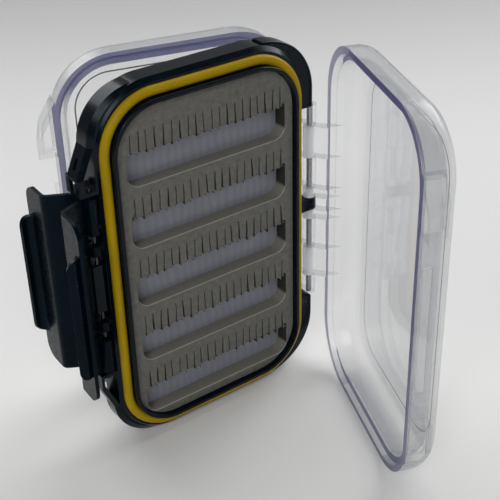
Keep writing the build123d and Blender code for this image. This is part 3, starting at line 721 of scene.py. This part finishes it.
def painted_board():
    """Matt white paint on board, faintly cloudy, with painted light in front of the box and painted shade far
    back.
    """
    material, tree, point = new_material("painted_board")
    run = add(tree, "VectorMath", {0: point, 1: FLOOR_RUN}, operation="DOT_PRODUCT").outputs["Value"]
    lit = add(tree, "MapRange", {"Value": run, "From Min": FLOOR_NEAR, "From Max": FLOOR_LIT},
              interpolation_type="SMOOTHSTEP")
    far = add(tree, "MapRange", {"Value": run, "From Min": FLOOR_LIT, "From Max": FLOOR_FAR},
              interpolation_type="SMOOTHSTEP")
    # Painted light near the camera and painted shade far back, mixed into the paint colour.
    close = add(tree, "Mix", {0: lit, 6: colour(PAINTED_LIGHT_NEAR), 7: colour(PAINT_LIT)}, data_type="RGBA")
    whole = add(tree, "Mix", {0: far, 6: close, 7: colour(PAINTED_SHADE_FAR)}, data_type="RGBA")
    cloud = add(tree, "TexNoise", {"Vector": point, "Scale": scale_of(CLOUDS), "Detail": 3.0})
    faint = add(tree, "MapRange", {"Value": cloud, "To Max": CLOUDS_MOST})
    base = add(tree, "Mix", {0: faint, 6: whole, 7: colour(CLOUDS_GREY)}, data_type="RGBA")
    paint = add(tree, "BsdfPrincipled", {"Base Color": base, "Roughness": PAINT_ROUGH,
                                         "Specular IOR Level": PAINT_SPECULAR})
    reach = add(tree, "VectorMath", {0: point}, operation="LENGTH").outputs["Value"]
    gone = add(tree, "MapRange", {"Value": reach, "From Min": FLOOR_FADE[0], "From Max": FLOOR_FADE[1]},
               interpolation_type="SMOOTHSTEP")
    shader = add(tree, "MixShader", {0: gone, 1: paint, 2: add(tree, "BsdfTransparent")})
    add(tree, "OutputMaterial", {"Surface": shader})
    return material


grid = bmesh.new()
bmesh.ops.create_grid(grid, x_segments=FLOOR_CELLS, y_segments=FLOOR_CELLS, size=FLOOR_HALF)
table_top = bpy.data.objects.new("table_top", bpy.data.meshes.new("table_top"))
grid.to_mesh(table_top.data)
grid.free()
bpy.context.collection.objects.link(table_top)
table_top.data.materials.append(painted_board())

# ---------------------------------------------------------------- light
# Four soft panels stand round the table and light the box plainly, three
# behind it and one in front, with a small bulb high on the left. The room
# beyond is dim, and pale only to the eye and through the clear lids.
PANEL, BULB = 0.8, 0.09
LAMP_AIM = Vector((0.0, 0.0, 0.05))
LAMPS = (("right_rear", PANEL, (1.1, 0.15, 0.75), 9.5),
         ("left_rear", PANEL, (-0.1, 1.1, 0.75), 6.0),
         ("rear", PANEL, (0.36, 0.5, 1.15), 4.0),
         ("front", PANEL, (-0.66, -0.88, 0.8), 8.0),
         ("bulb", BULB, (-0.92, -0.62, 0.92), 1.2))
ROOM_WHITE = (0.97, 0.98, 1.0, 1.0)
ROOM_LIGHT = 0.05
ROOM_SEEN = 0.72
ROOM_DARK, ROOM_BACK = 0.05, 0.3
ROOM_TURN = (-0.2, 0.8)

for name, size, place, power in LAMPS:
    lamp = bpy.data.lights.new(name, "AREA")
    lamp.size = size
    lamp.energy = power
    holder = bpy.data.objects.new(name, lamp)
    bpy.context.collection.objects.link(holder)
    holder.location = place
    holder.rotation_mode = "QUATERNION"
    holder.rotation_quaternion = (LAMP_AIM - Vector(place)).to_track_quat("-Z", "Y")

room = bpy.data.worlds.new("room")
bpy.context.scene.world = room
room.use_nodes = True
tree = room.node_tree
tree.nodes.clear()
toward = add(tree, "TexCoord").outputs["Generated"]
ahead = add(tree, "VectorMath", {0: toward, 1: FLOOR_RUN}, operation="DOT_PRODUCT").outputs["Value"]
mirrored = add(tree, "MapRange", {"Value": ahead, "From Min": ROOM_TURN[0], "From Max": ROOM_TURN[1],
                                  "To Min": ROOM_DARK, "To Max": ROOM_BACK})
path = add(tree, "LightPath")
seen = add(tree, "Math", {0: path.outputs["Is Camera Ray"], 1: path.outputs["Is Transmission Ray"]},
           operation="MAXIMUM")
level = add(tree, "Mix", {0: path.outputs["Is Glossy Ray"], 2: ROOM_LIGHT, 3: mirrored}, data_type="FLOAT")
level = add(tree, "Mix", {0: seen, 2: level, 3: ROOM_SEEN}, data_type="FLOAT")
sky = add(tree, "Background", {"Color": ROOM_WHITE, "Strength": level})
add(tree, "OutputWorld", {"Surface": sky})

# ---------------------------------------------------------------- camera
# The camera stands in front of the box to its left and looks down at it.
EYE = (-0.161074, -0.250472, 0.237771)
AZIMUTH, ELEVATION, ROLL = (math.radians(a) for a in (-35.637, 31.002, -1.579))
FOCAL_PER_WIDTH = 1069.655 / 500
SENSOR = 36.0
NEAREST, FARTHEST = 0.01, 20.0

back = Vector((math.sin(AZIMUTH) * math.cos(ELEVATION), -math.cos(AZIMUTH) * math.cos(ELEVATION),
               math.sin(ELEVATION)))
right = Vector((math.cos(AZIMUTH), math.sin(AZIMUTH), 0))
up = back.cross(right)
rolled_right = right * math.cos(ROLL) + up * math.sin(ROLL)
rolled_up = up * math.cos(ROLL) - right * math.sin(ROLL)
lens = bpy.data.cameras.new("camera")
lens.sensor_width = SENSOR
lens.lens = SENSOR * FOCAL_PER_WIDTH
lens.clip_start, lens.clip_end = NEAREST, FARTHEST
camera = bpy.data.objects.new("camera", lens)
bpy.context.collection.objects.link(camera)
camera.matrix_world = Matrix(((rolled_right.x, rolled_up.x, back.x, EYE[0]),
                              (rolled_right.y, rolled_up.y, back.y, EYE[1]),
                              (rolled_right.z, rolled_up.z, back.z, EYE[2]),
                              (0, 0, 0, 1)))
bpy.context.scene.camera = camera
bpy.context.scene.view_settings.view_transform = "Standard"
